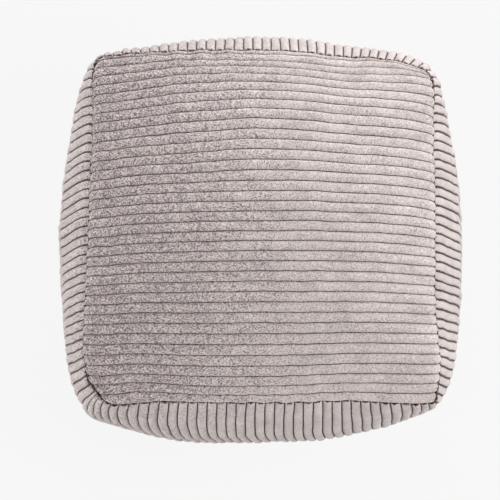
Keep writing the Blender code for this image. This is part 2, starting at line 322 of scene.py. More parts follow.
# The front left corner of the top overhangs the sides. Their upper ends are drawn in there, and the ends
# of the wales round it are cut short and painted dark there, a painted shadow in the crevice
HOLE = ((-0.1560, -0.1540, 0.297), 4.0 * MM, 7.0 * MM)
CREVICE = 7.0 * MM          # how much shorter the wales are at its middle
CREVICE_REACH = 6.5 * MM

# Soft troughs in the cloth: start, end, depth, half width
TROUGHS = (
    ((0.120, -0.188, 0.060), (0.165, -0.168, 0.150), 2.0 * MM, 14 * MM),
    ((-0.165, -0.165, 0.120), (-0.110, -0.190, 0.050), 2.2 * MM, 13 * MM),
    ((0.190, 0.090, 0.060), (0.168, 0.166, 0.140), 2.2 * MM, 13 * MM),
    ((-0.190, 0.080, 0.050), (-0.168, 0.166, 0.130), 2.0 * MM, 13 * MM),
    ((-0.060, 0.196, 0.050), (-0.120, 0.186, 0.110), 1.8 * MM, 14 * MM),
    ((0.192, -0.040, 0.045), (0.190, -0.110, 0.100), 1.8 * MM, 14 * MM),
)

# Puckers where a seam gathers the cloth: seam's side in X and Y, upper or lower, wavelength, depth, phase
PUCKERS = (
    (0, -1, 1, 23 * MM, 0.9 * MM, 0.4),
    (0, 1, 1, 25 * MM, 0.9 * MM, 1.9),
    (-1, 0, 1, 31 * MM, 0.5 * MM, 0.8),
    (1, 0, 1, 29 * MM, 0.6 * MM, 2.6),
    (0, -1, -1, 34 * MM, 1.1 * MM, 0.2),
    (0, 1, -1, 37 * MM, 1.1 * MM, 1.2),
    (-1, 0, -1, 33 * MM, 1.1 * MM, 2.2),
    (1, 0, -1, 36 * MM, 1.1 * MM, 3.1),
)
PUCKER_REACH = 15 * MM
PUCKER_SWAY = (1.3, 2.1)    # how far a slower wave shifts them, and how much slower it is
PUCKER_FADE = (0.4, 1.3)    # how much weaker some of them are, and how slowly that comes and goes
TOP_HALF = 163 * MM         # how far the seams lie from the middle, about, for the puckers
BASE_HALF = 169 * MM


# ---------------------------------------------------------------- the bag's plain form


def bow(share):
    """0 at both ends of an edge and 1 in its middle."""
    return 1 - share**2


def run_lengths(points, axis=0):
    """How far each point lies along its row of points."""
    steps = np.linalg.norm(np.diff(points, axis=axis), axis=-1)
    return np.insert(np.cumsum(steps, axis=axis), 0, 0.0, axis=axis)


def smooth_curve(knots, values, places):
    """Values read from a smooth curve through a row of values at rising knots."""
    slopes = np.gradient(values, knots, axis=0)
    first = np.clip(np.searchsorted(knots, places, side="right") - 1, 0, len(knots) - 2)
    span = (knots[first + 1] - knots[first])[:, None]
    part = (places - knots[first])[:, None] / span
    return (
        values[first] * (1 + 2 * part) * (1 - part) ** 2
        + slopes[first] * span * part * (1 - part) ** 2
        + values[first + 1] * part**2 * (3 - 2 * part)
        - slopes[first + 1] * span * part**2 * (1 - part))


def smooth_run(points):
    """A fine smooth run through listed points, given in millimetres."""
    points = np.array(points) * MM
    knots = run_lengths(points)
    return smooth_curve(knots, points, np.linspace(0, knots[-1], FINE))


def edge_offset(edge, axis, place):
    """How far an edge lies out in X or Y, at a place -1 to 1 along its other axis."""
    line = edge if edge[-1, axis] > edge[0, axis] else edge[::-1]
    low, high = line[0, axis], line[-1, axis]
    return np.interp(low + (high - low) * (place + 1) / 2, line[:, axis], line[:, 1 - axis])


def cap_outline(edges, along, across):
    """X and Y of a panel inside its four edges, for shares -1 to 1 to the right and to the back."""
    right, front, left, back = edges
    x_left, x_right = edge_offset(left, 1, across), edge_offset(right, 1, across)
    y_front, y_back = edge_offset(front, 0, along), edge_offset(back, 0, along)
    return x_left + (x_right - x_left) * (1 + along) / 2, y_front + (y_back - y_front) * (1 + across) / 2


def cap_level(corners, middle, along, across):
    """Height of a panel's seam, carried over the whole panel, for shares to the right and to the back."""
    back_right, front_right, front_left, back_left = (level * MM for level in corners)
    right, left = (1 + along) / 2, (1 - along) / 2
    corner = (back_right * right + back_left * left) * (1 + across) / 2
    corner = corner + (front_right * right + front_left * left) * (1 - across) / 2
    rise = middle - sum(corners) * MM / 4
    return corner + rise * (bow(along) + bow(across) - bow(along) * bow(across))


class Loop:
    """A closed seam or outline, clockwise from its back right corner."""

    def __init__(self, edges):
        self.points = np.concatenate(edges)
        self.lengths = run_lengths(self.points)
        corners = self.lengths[[FINE * edge - 1 for edge in range(1, 5)]]
        # Two turns, so that a stretch may run past the corner where the loop starts
        self.corners = np.concatenate(([0.0], corners, corners + corners[-1]))

    def between(self, start, end, share):
        """X, Y and Z at shares 0 to 1 of the way between two places, each a corner's number and a part."""
        first, last = np.interp((start, end), range(9), self.corners)
        length = (first + (last - first) * share) % self.lengths[-1]
        return [np.interp(length, self.lengths, axis) for axis in self.points.T]


def rim(cap, front):
    """The four edges of a cap, clockwise from its back right corner. Across is front at its front edge."""
    run, one = np.linspace(-1, 1, FINE), np.ones(FINE)
    edges = ((one, run * front), (-run, one * front), (-one, -run * front), (run, -one * front))
    return [cap(along, across) for along, across in edges]


class Bag:
    """The bag's form at the foot of its wales, worked out from the sizes in the sidebar."""

    CROWN_POWER = 2.1
    CROWN_EDGE = 0.92       # under 1 the crown is steeper at its seams
    REST_POWER = 8          # the base rolls up from the floor only near its seam
    REST_SHARE = 0.15       # of that roll, the share which the floor presses flat
    PUCKER_POWER = 6        # the puckers die out only near the corners

    def __init__(self, sizes, settled=True):
        self.sizes = sizes
        self.settled = settled
        self.crown = sizes.height - CREST_HEIGHT - sizes.top_seam_level
        self.core = np.array((0.0, 0.0, sizes.belly_level))
        self.top_edges = [smooth_run(edge) for edge in TOP_SEAM]
        self.base_edges = [smooth_run(edge) for edge in BASE_SEAM]
        self.belly = Loop([smooth_run(edge) for edge in BELLY])
        self.top_seam = Loop(rim(self.plain_top, -1))
        self.base_seam = Loop(rim(self.plain_base, 1))

    def plain_top(self, along, across):
        """The crowned top. Along runs to the right and across runs to the back."""
        x, y = cap_outline(self.top_edges, along, across)
        over = (1 - np.abs(along) ** self.CROWN_POWER) * (1 - np.abs(across) ** self.CROWN_POWER)
        level = cap_level(TOP_CORNER_LEVELS, self.sizes.top_seam_level, along, across)
        return np.stack((x, y, level + self.crown * np.maximum(over, 0) ** self.CROWN_EDGE), axis=-1)

    def plain_base(self, along, across):
        """The base, flat on the floor and rolled up to its seam. Across runs to the front."""
        x, y = cap_outline(self.base_edges, along, -across)
        roll = 1 - (1 - np.abs(along) ** self.REST_POWER) * (1 - np.abs(across) ** self.REST_POWER)
        lift = np.maximum(roll - self.REST_SHARE, 0) / (1 - self.REST_SHARE)
        level = cap_level(BASE_CORNER_LEVELS, self.sizes.base_seam_level, along, -across)
        return np.stack((x, y, level * lift), axis=-1)

    def top(self, along, across):
        """The top as it has settled."""
        return self.settle(self.plain_top(along, across))

    def base(self, along, across):
        """The base as it has settled."""
        return self.settle(self.plain_base(along, across))

    def surface(self, place):
        """The form of one panel: the function that places shares -1 to 1 along and across its wales."""
        if place in SIDES:
            return self.side(place)
        return self.top if place == "top" else self.base

    def side(self, side):
        """A bulging side. Along runs up and across runs to the left, seen from outside."""
        place = SIDES.index(side)
        roundness = self.sizes.side_roundness

        def surface(up, across):
            share = (1 + across) / 2
            top_x, top_y, top_z = self.top_seam.between(*TOP_MEETINGS[place:place + 2], share)
            base_x, base_y, base_z = self.base_seam.between(*BASE_MEETINGS[place:place + 2], share)
            belly_x, belly_y = self.belly.between(*BELLY_MEETINGS[place:place + 2], share)
            # Arcs that start upright at the belly and end at the seams
            turn = roundness * np.abs(up)
            inward = (1 - np.cos(turn)) / (1 - math.cos(roundness))
            rise = np.sin(turn) / math.sin(roundness)
            above = up > 0
            x = belly_x + (np.where(above, top_x, base_x) - belly_x) * inward
            y = belly_y + (np.where(above, top_y, base_y) - belly_y) * inward
            z = self.sizes.belly_level + (np.where(above, top_z, base_z) - self.sizes.belly_level) * rise
            points = np.stack(np.broadcast_arrays(x, y, z), axis=-1)
            return self.draw_in(self.settle(points), points, *HOLE)

        return surface

    def draw_in(self, moved, points, corner, depth, reach):
        """Move points near a corner towards the middle of the bag."""
        if not self.settled:
            return moved
        inward = (self.core - corner) / np.linalg.norm(self.core - corner)
        distance = np.linalg.norm(points - corner, axis=-1, keepdims=True)
        return moved + inward * depth * np.exp(-((distance / reach) ** 2))

    def settle(self, points):
        """Points of the bag as it stands: drawn in at its corners, creased and puckered."""
        if not self.settled:
            return points
        moved = points.copy()
        for corner, depth, reach in DRAWN_CORNERS:
            moved = self.draw_in(moved, points, corner, depth, reach)
        for start, end, depth, half_width in TROUGHS:
            moved += self.towards_core(points) * (
                depth * np.exp(-((distance_to_run(points, start, end) / half_width) ** 2)))[..., None]
        for side_x, side_y, upper, wavelength, depth, phase in PUCKERS:
            moved -= self.towards_core(points) * self.pucker(
                points, side_x, side_y, upper, wavelength, depth, phase)[..., None]
        return moved

    def towards_core(self, points):
        """Unit vectors from points of the bag to its middle."""
        inward = self.core - points
        return inward / np.linalg.norm(inward, axis=-1, keepdims=True)

    def pucker(self, points, side_x, side_y, upper, wavelength, depth, phase):
        """How far one seam's puckers push points out."""
        level = self.sizes.top_seam_level if upper > 0 else self.sizes.base_seam_level
        half = TOP_HALF if upper > 0 else BASE_HALF
        off_seam = np.hypot(
            (points[..., 0] * side_x + points[..., 1] * side_y) - half, points[..., 2] - level)
        run = points[..., 0] * abs(side_y) + points[..., 1] * abs(side_x)
        # The puckers are no even wave: slower ones stretch and squeeze them, and weaken some
        sway, sway_slowness = PUCKER_SWAY
        beat = (
            phase + 2 * math.pi * run / wavelength
            + sway * np.sin(run / (sway_slowness * wavelength) + phase))
        fade, fade_slowness = PUCKER_FADE
        strength = 1 - fade + fade * np.sin(run / (fade_slowness * wavelength) + 2 * phase)
        inside = np.clip(1 - (np.abs(run) / half) ** self.PUCKER_POWER, 0, 1)
        return depth * strength * np.sin(beat) * np.exp(-((off_seam / PUCKER_REACH) ** 2)) * inside


def distance_to_run(points, start, end):
    """Distance of points from a straight run between two places."""
    start, end = np.array(start), np.array(end)
    run = end - start
    share = np.clip(((points - start) @ run) / (run @ run), 0, 1)
    return np.linalg.norm(points - (start + share[..., None] * run), axis=-1)


def soft_waves(rng, across, along, waves, count=14):
    """A smooth unevenness over a panel, from waves of many directions and lengths."""
    size, longest, shortest = waves
    total = np.zeros(np.broadcast(across, along).shape)
    for _ in range(count):
        length = shortest * (longest / shortest) ** rng.random()
        angle = rng.random() * 2 * math.pi
        phase = rng.random() * 2 * math.pi
        total += np.sin(2 * math.pi / length * (across * math.cos(angle) + along * math.sin(angle)) + phase)
    return size * (total / math.sqrt(count))


# ---------------------------------------------------------------- the filling, simulated


SHELL_CELLS = 48            # squares along an edge of a panel, before the shell is made even
SHELL_SQUARE = 8 * MM
FILLING_FRAMES = 20
CREASE_SHARE = 0.4          # the heavy pile lets only so much of the ground weave's creases show
FILLING_CAP = 1.0 * MM      # the most by which a crease stands out or sinks
SEAM_HOLD = 9 * MM          # cloth this near to a seam doesn't move
SMOOTH_ROUNDS = 40          # rounds of averaging over neighbours that level out everything but the creases
SHELL_NAME = "filling_shell"
PUSH = "push"


def bag_shell(bag):
    """The bag's form as one closed object of small even squares."""
    share = np.linspace(-1, 1, SHELL_CELLS + 1)
    along, across = np.meshgrid(share, share, indexing="ij")
    corner = np.arange(SHELL_CELLS)[:, None] * (SHELL_CELLS + 1) + np.arange(SHELL_CELLS)
    turns = (0, SHELL_CELLS + 1, SHELL_CELLS + 2, 1)
    squares = np.stack([corner + turn for turn in turns], axis=-1).reshape(-1, 4)
    points, faces = [], []
    for place in ("top", "base", *SIDES):
        faces.append(squares + len(points) * along.size)
        points.append(bag.surface(place)(along, across).reshape(-1, 3))
    mesh = bpy.data.meshes.new(SHELL_NAME)
    mesh.from_pydata(np.concatenate(points).tolist(), [], np.concatenate(faces).tolist())
    shell = bpy.data.objects.new(SHELL_NAME, mesh)
    bpy.context.scene.collection.objects.link(shell)
    remesh = shell.modifiers.new("even squares", "REMESH")
    remesh.mode = "VOXEL"
    remesh.voxel_size = SHELL_SQUARE
    even = bpy.data.meshes.new_from_object(evaluated(shell))
    shell.modifiers.clear()
    shell.data = even
    bpy.data.meshes.remove(mesh)
    return shell


def evaluated(piece):
    """An object as its modifiers leave it."""
    bpy.context.view_layer.update()
    return piece.evaluated_get(bpy.context.evaluated_depsgraph_get())


def mesh_points(mesh):
    """A mesh's points as rows of X, Y and Z."""
    points = np.empty(len(mesh.vertices) * 3)
    mesh.vertices.foreach_get("co", points)
    return points.reshape(-1, 3)


def press_filling(shell, bag):
    """Simulate the beads that press from within, and return how far each point of the shell went."""
    start = mesh_points(shell.data)
    seams = np.concatenate((bag.top_seam.points, bag.base_seam.points))
    tree = kdtree.KDTree(len(seams))
    for place, point in enumerate(seams):
        tree.insert(point, place)
    tree.balance()
    held = [place for place, point in enumerate(start) if tree.find(point)[2] < SEAM_HOLD]
    group = shell.vertex_groups.new(name="seams")
    group.add(held, 1.0, "REPLACE")

    cloth = shell.modifiers.new("filling", "CLOTH")
    settings = cloth.settings
    settings.quality = 4
    settings.mass = 0.35
    settings.use_pressure = True
    settings.uniform_pressure_force = 4.0
    settings.shrink_min = -0.04         # the panels are cut a little wider than their seams
    settings.bending_stiffness = 0.8
    settings.vertex_group_mass = group.name
    settings.effector_weights.gravity = 0.0
    cloth.point_cache.frame_start = 1
    cloth.point_cache.frame_end = FILLING_FRAMES
    scene = bpy.context.scene
    for frame_number in range(1, FILLING_FRAMES + 1):
        scene.frame_set(frame_number)
    moved = mesh_points(evaluated(shell).data)
    shell.modifiers.clear()
    scene.frame_set(1)
    return moved - start


def creases(shell, moved):
    """How far each point stands out from the cloth round it: the swelling is levelled, its creases stay."""
    mesh = shell.data
    normals = np.empty(len(mesh.vertices) * 3)
    mesh.vertices.foreach_get("normal", normals)
    out = np.einsum("ij,ij->i", moved, normals.reshape(-1, 3))
    ends = np.empty(len(mesh.edges) * 2, np.int32)
    mesh.edges.foreach_get("vertices", ends)
    first, second = ends.reshape(-1, 2).T
    count = np.bincount(ends, minlength=len(out)).astype(float)
    level = out.copy()
    for _ in range(SMOOTH_ROUNDS):
        total = np.bincount(first, level[second], len(out)) + np.bincount(second, level[first], len(out))
        level = (level + total / count) / 2
    return FILLING_CAP * np.tanh(CREASE_SHARE * (out - level) / FILLING_CAP)


class Filling:
    """Reads how far the filling pushes the cloth at any place on the bag."""

    NEAREST = 6             # points of the shell that are read together

    def __init__(self):
        mesh = bpy.data.meshes.get(SHELL_NAME)
        self.tree = None
        if mesh is None:
            return
        self.push = np.empty(len(mesh.vertices))
        mesh.attributes[PUSH].data.foreach_get("value", self.push)
        self.tree = kdtree.KDTree(len(mesh.vertices))
        for place, point in enumerate(mesh_points(mesh)):
            self.tree.insert(point, place)
        self.tree.balance()

    def at(self, points):
        """The push at points of the cloth, outwards, in metres."""
        if self.tree is None:
            return np.zeros(points.shape[:-1])
        found = [self.tree.find_n(point, self.NEAREST) for point in points.reshape(-1, 3)]
        places = np.array([[near[1] for near in row] for row in found])
        weights = np.exp(-((np.array([[near[2] for near in row] for row in found]) / SHELL_SQUARE) ** 2))
        push = (self.push[places] * weights).sum(axis=1) / np.maximum(weights.sum(axis=1), 1e-12)
        return push.reshape(points.shape[:-1])


# ---------------------------------------------------------------- cutting a panel's net


def section_places(surface, stations, shares):
    """Places across a panel, -1 to 1, at shares of the length of its section at each station."""
    across = np.linspace(-1, 1, FINE)
    run = run_lengths(surface(np.broadcast_to(stations, (FINE, len(stations))), across[:, None]))
    places = np.empty_like(shares)
    for column in range(len(stations)):
        places[:, column] = np.interp(shares[:, column] * run[-1, column], run[:, column], across)
    return places


def net_stations(tip_radius, count):
    """Stations along a wale, -1 to 1, close together where its ends are rounded."""
    turn = np.linspace(0, math.pi / 2, TIP_ROWS)
    tip = tip_radius * (1 - np.cos(turn)) * 2 / FLAT - 1
    between = np.linspace(tip[-1], -tip[-1], count - 2 * TIP_ROWS + 2)[1:-1]
    return np.concatenate((tip, between, -tip[::-1]))


def wale_rows(wales, rows):
    """For each row of the net: which wale it is on and its phase over that wale, 0 to 1."""
    phase = (1 - np.cos(np.linspace(0, math.pi, rows + 1)[:-1])) / 2
    whole = math.ceil(wales)
    wale, phases = np.repeat(np.arange(whole), rows), np.tile(phase, whole)
    inside = wale + phases < wales - CLOSEST
    return np.append(wale[inside], whole - 1), np.append(phases[inside], wales - (whole - 1))


def slipped(rows, stations, slips, wales):
    """How far each row of the net has slipped at each station, in wales."""
    places, table = slips
    sewn_down = (0,) * len(places)
    values = np.array((sewn_down, *table.values(), sewn_down))
    at_places = smooth_curve(np.array((0, *table, wales)), values, rows)
    return smooth_curve(np.array(places), at_places.T, stations).T


class Panel(NamedTuple):
    """One panel of the cover, as it is cut."""

    name: str
    node: str           # of the solid that it stands for
    place: str          # which of the bag's surfaces it covers
    net: tuple
    wales: float
    slips: tuple
    finish: Finish
    seed: int


class PanelNet:
    """A panel's net of points, in rows along its wales, with all that the wale tree reads from it."""

    def __init__(self, panel, sizes, bag, filling):
        self.panel = panel
        self.sizes = sizes
        self.bag = bag
        self.rng = np.random.default_rng(sizes.seed * 100 + panel.seed)
        self.lift = panel.finish.height * sizes.wale_height
        self.lay_rows()
        self.measure()
        self.pad(filling)
        self.turn_ends()
        self.shape_wales()

    def waves(self, waves, squeeze=1):
        """Soft unevenness over the flat cloth, squeezed across the wales."""
        return soft_waves(self.rng, self.across * squeeze, self.along, waves)

    def lay_rows(self):
        """Spread the rows over the form, where the wales have slipped and their grooves waver a little."""
        panel = self.panel
        rows_over_wale, count = panel.net
        stations = net_stations(panel.finish.tip * self.sizes.tip_radius, count)
        self.wale, self.phase = wale_rows(panel.wales, rows_over_wale)
        share = (self.wale + self.phase)[:, None] / panel.wales + np.zeros(count)
        self.across = share * FLAT
        self.along = np.broadcast_to((stations + 1) / 2 * FLAT, share.shape)

        slip = slipped(share[:, 0] * panel.wales, stations, panel.slips, panel.wales)
        # Less waver at the seams
        quiet = np.sin(math.pi * share) ** 0.5
        spread = share + slip / panel.wales + self.waves(WAVER) * quiet / FLAT
        spread[0] = 0.0
        spread[-1] = 1.0

        surface = self.bag.surface(panel.place)
        places = section_places(surface, np.clip(stations, -INSIDE, INSIDE), spread)
        self.ground = surface(np.broadcast_to(stations, places.shape), places)
        outward = np.cross(np.gradient(self.ground, axis=1), np.gradient(self.ground, axis=0))
        self.outward = outward / np.maximum(np.linalg.norm(outward, axis=-1, keepdims=True), 1e-9)

    def measure(self):
        """How far every point is from the ends of its wale and from the other two seams."""
        run = run_lengths(self.ground, axis=1)
        self.tip_distance = np.minimum(run, run[:, -1:] - run)
        run = run_lengths(self.ground)
        self.last_seam = run[-1:] - run
        self.side_distance = np.minimum(run, self.last_seam)

    def pad(self, filling):
        """Sink the seams between the panels, and add the unevenness that the beads leave in the cloth."""
        seam_distance = np.minimum(self.tip_distance, self.side_distance)
        lumps = self.waves(LUMPS)
        lumps *= 1 - np.exp(-seam_distance / LUMPS_FADE)
        lumps += filling.at(self.ground) * np.exp(-((seam_distance / CREASE_REACH) ** 2))
        # The wales' crests stay where the solid's are, however high the wales are
        lumps -= self.lift - CREST_HEIGHT
        near = np.exp(-((seam_distance / self.sizes.tuck_reach) ** 2))[..., None]
        # At a seam both panels sink towards the bag's middle, so that their edges stay together
        sink = near * self.bag.towards_core(self.ground) - (1 - near) * self.outward
        tuck = self.sizes.seam_tuck * near
        self.ground = self.ground + sink * tuck + self.outward * lumps[..., None]

    def turn_ends(self):
        """Choose the way in which the wales are raised, and sink the ground under their ends.

        They are raised straight out, but away from the bag's middle where they meet others end to end,
        so that no gap opens there. At the corners they sink into the seam instead.
        """
        tip_drop = self.panel.finish.tip_drop
        corner = np.exp(-((self.side_distance / CORNER_REACH) ** 2))
        self.drop = tip_drop + (1 - tip_drop) * corner
        meet = np.exp(-((self.tip_distance / self.sizes.tuck_reach) ** 2)) * (1 - corner) * (tip_drop < 1)
        meet = meet[..., None]
        way = (1 - meet) * self.outward - meet * self.bag.towards_core(self.ground)
        self.way = way / np.linalg.norm(way, axis=-1, keepdims=True)
        # The ground lies deeper there, so that the raised ends come up to the seam and no further
        rise = self.lift * (1 - tip_drop) ** (1 / self.sizes.wale_roundness)
        self.ground -= self.way * meet * rise
        self.tip_distance = self.tip_distance / (1 + CORNER_ROUND * corner)

    def shape_wales(self):
        """Vary the height of the wales, and cut short those at the last seam and round the crevice."""
        wales = self.panel.wales
        self.gain = 1 + self.waves(SWELLS, SWELL_SQUEEZE)
        self.gain *= 1 + WALE_SPREAD * self.rng.standard_normal(math.ceil(wales))[self.wale][:, None]
        if wales % 1:
            # The last wale is sewn into the seam along its length, and is rounded off there
            self.tip_distance = np.minimum(self.tip_distance, self.last_seam)
        # Ends cut short also take the dark groove colour, so this paints the crevice's shadow
        crevice = np.exp(-((np.linalg.norm(self.ground - HOLE[0], axis=-1) / CREVICE_REACH) ** 2))
        self.tip_distance = np.maximum(self.tip_distance - CREVICE * crevice, 0.0)

    def mesh(self):
        """A mesh of the net, closed by straight walls from its seams to the middle of the bag."""
        rows, columns = self.ground.shape[:2]
        points = np.concatenate((self.ground.reshape(-1, 3), self.bag.core[None]))
        first = (np.arange(rows - 1)[:, None] * columns + np.arange(columns - 1)).ravel()
        quads = np.stack((first, first + 1, first + columns + 1, first + columns), axis=1)
        rim = np.concatenate((
            np.arange(columns),
            np.arange(1, rows) * columns + columns - 1,
            (rows - 1) * columns + np.arange(columns - 2, -1, -1),
            np.arange(rows - 2, 0, -1) * columns,
        ))
        walls = np.stack((np.roll(rim, -1), rim, np.full(len(rim), rows * columns)), axis=1)

        mesh = bpy.data.meshes.new(self.panel.name)
        mesh.vertices.add(len(points))
        mesh.vertices.foreach_set("co", points.astype(np.float32).ravel())
        corners = np.concatenate((quads.ravel(), walls.ravel()))
        mesh.loops.add(len(corners))
        mesh.loops.foreach_set("vertex_index", corners.astype(np.int32))
        starts = np.concatenate((np.arange(len(quads)) * 4, len(quads) * 4 + np.arange(len(walls)) * 3))
        mesh.polygons.add(len(starts))
        mesh.polygons.foreach_set("loop_start", starts.astype(np.int32))
        mesh.update(calc_edges=True)
        self.store(mesh, corners)
        mesh.validate()
        crease_rim(mesh, rim)
        return mesh

    def store(self, mesh, corners):
        """Keep what the wale tree and the cloth read. The last value is for the middle of the bag."""
        phase = np.broadcast_to(self.phase[:, None], self.gain.shape)
        for name, values in (
            (PHASE, phase), (TIP, self.tip_distance), (GAIN, self.gain), (DROP, self.drop),
        ):
            data = mesh.attributes.new(name, "FLOAT", "POINT").data
            data.foreach_set("value", np.append(values.ravel(), 0.0).astype(np.float32))
        data = mesh.attributes.new(WAY, "FLOAT_VECTOR", "POINT").data
        data.foreach_set("vector", np.append(self.way.ravel(), (0.0, 0.0, 1.0)).astype(np.float32))
        uv = np.stack([np.append(axis.ravel(), 0.0) for axis in (self.along, self.across)], axis=1)
        mesh.uv_layers.new(name=UV_NAME).data.foreach_set("uv", uv[corners].astype(np.float32).ravel())


def crease_rim(mesh, rim):
    """Mark the seam edges sharp, so that the cloth's shading doesn't run over onto the walls."""
    on_rim = np.zeros(len(mesh.vertices), bool)
    on_rim[rim] = True
    ends = np.empty(len(mesh.edges) * 2, np.int32)
    mesh.edges.foreach_get("vertices", ends)
    sharp = on_rim[ends.reshape(-1, 2)].all(axis=1)
    mesh.attributes.new("sharp_edge", "BOOLEAN", "EDGE").data.foreach_set("value", sharp)


# ---------------------------------------------------------------- node trees


MATH = "ShaderNodeMath"


def add_node(tree, kind, inputs=(), **settings):
    """Add a node with its settings, and fill its inputs, by name or in order, with values or links."""
    node = tree.nodes.new(kind)
    for key, value in settings.items():
        setattr(node, key, value)
    for key, value in inputs.items() if isinstance(inputs, dict) else enumerate(inputs):
        if isinstance(value, bpy.types.Node):
            value = value.outputs[0]
        if isinstance(value, bpy.types.NodeSocket):
            tree.links.new(value, node.inputs[key])
        else:
            node.inputs[key].default_value = value
    return node


def about_middle(add, pattern, strength):
    """A pattern of 0 to 1 as unevenness to both sides of 0."""
    return add(MATH, (add(MATH, (pattern, 0.5), operation="SUBTRACT"), strength), operation="MULTIPLY")


WALE_INPUTS = (
    ("Wale height", "NodeSocketFloat", 3.4 * MM),
    ("Roundness", "NodeSocketFloat", 2.3),
    ("Tip radius", "NodeSocketFloat", 4.2 * MM),
    ("Groove share", "NodeSocketFloat", 0.15),
    ("Ruffled", "NodeSocketFloat", 1.0),
    ("Pile unevenness", "NodeSocketFloat", 0.15 * MM),
    ("Lock size", "NodeSocketFloat", 1.6 * MM),
    ("Floor", "NodeSocketFloat", 0.0),
    ("Seed", "NodeSocketInt", 0),
    ("Cloth", "NodeSocketMaterial", None),
)
SEED_STEP = 7.3             # from one seed's unevenness of the pile to the next


def wale_form(add, given):
    """How full a wale stands at each point, 0 to 1, and how much of its pile shows there."""
    phase, tip_distance, drop = (
        add("GeometryNodeInputNamedAttribute", {"Name": name}, data_type="FLOAT").outputs["Attribute"]
        for name in (PHASE, TIP, DROP))
    # A wale's section and its tip are both the same full curve: 1 - |distance from the crest| ** roundness
    doubled = add(MATH, (phase, 2.0), operation="MULTIPLY")
    from_crest = add(MATH, (doubled, 1.0), operation="SUBTRACT")
    off_crest = add(MATH, (from_crest,), operation="ABSOLUTE")
    section = add(MATH, (off_crest, given["Roundness"]), operation="POWER")
    from_end = add(MATH, (tip_distance, given["Tip radius"]), operation="DIVIDE")
    past_tip = add(MATH, (1.0, from_end), operation="SUBTRACT", use_clamp=True)
    rounding = add(MATH, (past_tip, given["Roundness"]), operation="POWER")
    tip = add(MATH, (rounding, drop), operation="MULTIPLY")
    left = add(MATH, (1.0, section), operation="SUBTRACT")
    left = add(MATH, (left, tip), operation="SUBTRACT", use_clamp=True)
    root = add(MATH, (1.0, given["Roundness"]), operation="DIVIDE")
    crest = add(MATH, (left, root), operation="POWER")
    # The dark groove colour shows in the groove, as ground weave darkened with painted shade, and round the
    # sunk ends, as painted shade
    off_groove = add(MATH, (1.0, off_crest), operation="SUBTRACT")
    off_groove = add(MATH, (off_groove, given["Groove share"]), operation="DIVIDE", use_clamp=True)
    off_tip = add(MATH, (1.0, tip), operation="SUBTRACT")
    return crest, add(MATH, (off_groove, off_tip), operation="MULTIPLY")


def pile_locks(add, given):
    """How far the locks of the pile stand out from one another."""
    place = add("GeometryNodeInputPosition")
    seed = add(MATH, (given["Seed"], SEED_STEP), operation="MULTIPLY")
    fineness = add(MATH, (1.0, given["Lock size"]), operation="DIVIDE")
    uneven = {"Vector": place, "W": seed, "Scale": fineness, "Detail": 2.0, "Roughness": 0.6}
    locks = add("ShaderNodeTexNoise", uneven, noise_dimensions="4D")
    ruffle = about_middle(add, locks, given["Pile unevenness"])
    return add(MATH, (ruffle, 2.0), operation="MULTIPLY")


def wale_tree():
    """Raises rounded wales from a panel's net, rounds off their ends at the seams and ruffles the pile."""
    tree = bpy.data.node_groups.new(TREE_NAME, "GeometryNodeTree")
    tree.interface.new_socket("Geometry", in_out="INPUT", socket_type="NodeSocketGeometry")
    for name, kind, default in WALE_INPUTS:
        socket = tree.interface.new_socket(name, in_out="INPUT", socket_type=kind)
        if default is not None:
            socket.default_value = default
    tree.interface.new_socket("Geometry", in_out="OUTPUT", socket_type="NodeSocketGeometry")
    add = partial(add_node, tree)
    given = add("NodeGroupInput").outputs

    crest, shown = wale_form(add, given)
    gain, way = (
        add("GeometryNodeInputNamedAttribute", {"Name": name}, data_type=kind).outputs["Attribute"]
        for name, kind in ((GAIN, "FLOAT"), (WAY, "FLOAT_VECTOR")))
    stand = add(MATH, (crest, given["Wale height"]), operation="MULTIPLY")
    stand = add(MATH, (stand, gain), operation="MULTIPLY")
    ruffle = add(MATH, (pile_locks(add, given), crest), operation="MULTIPLY")
    stand = add(MATH, (stand, ruffle), operation="ADD")
    offset = add("ShaderNodeVectorMath", {0: way, "Scale": stand}, operation="SCALE")
    raised = add("GeometryNodeSetPosition", {"Geometry": given["Geometry"], "Offset": offset})

    # Nothing goes below the floor: the bag's weight presses those wales flat
    where = add("ShaderNodeSeparateXYZ", (add("GeometryNodeInputPosition"),)).outputs
    level = add(MATH, (where["Z"], given["Floor"]), operation="MAXIMUM")
    resting = add("ShaderNodeCombineXYZ", (where["X"], where["Y"], level))
    cover = add("GeometryNodeSetPosition", {"Geometry": raised, "Position": resting})
    for name, value in ((CREST, shown), (SPECKLE_AND_SHADE, given["Ruffled"])):
        cover = add(
            "GeometryNodeStoreNamedAttribute", {"Geometry": cover, "Name": name, "Value": value},
            data_type="FLOAT", domain="POINT")
    whole = add("GeometryNodeRealizeInstances", (cover,))
    clothed = add("GeometryNodeSetMaterial", {"Geometry": whole, "Material": given["Cloth"]})
    add("NodeGroupOutput", (clothed,))
    return tree


def set_input(modifier, name, value):
    """Set a node modifier's input by its socket's identifier."""
    for item in modifier.node_group.interface.items_tree:
        if item.item_type == "SOCKET" and item.in_out == "INPUT" and item.name == name:
            modifier[item.identifier] = value
            return
    raise KeyError(name)


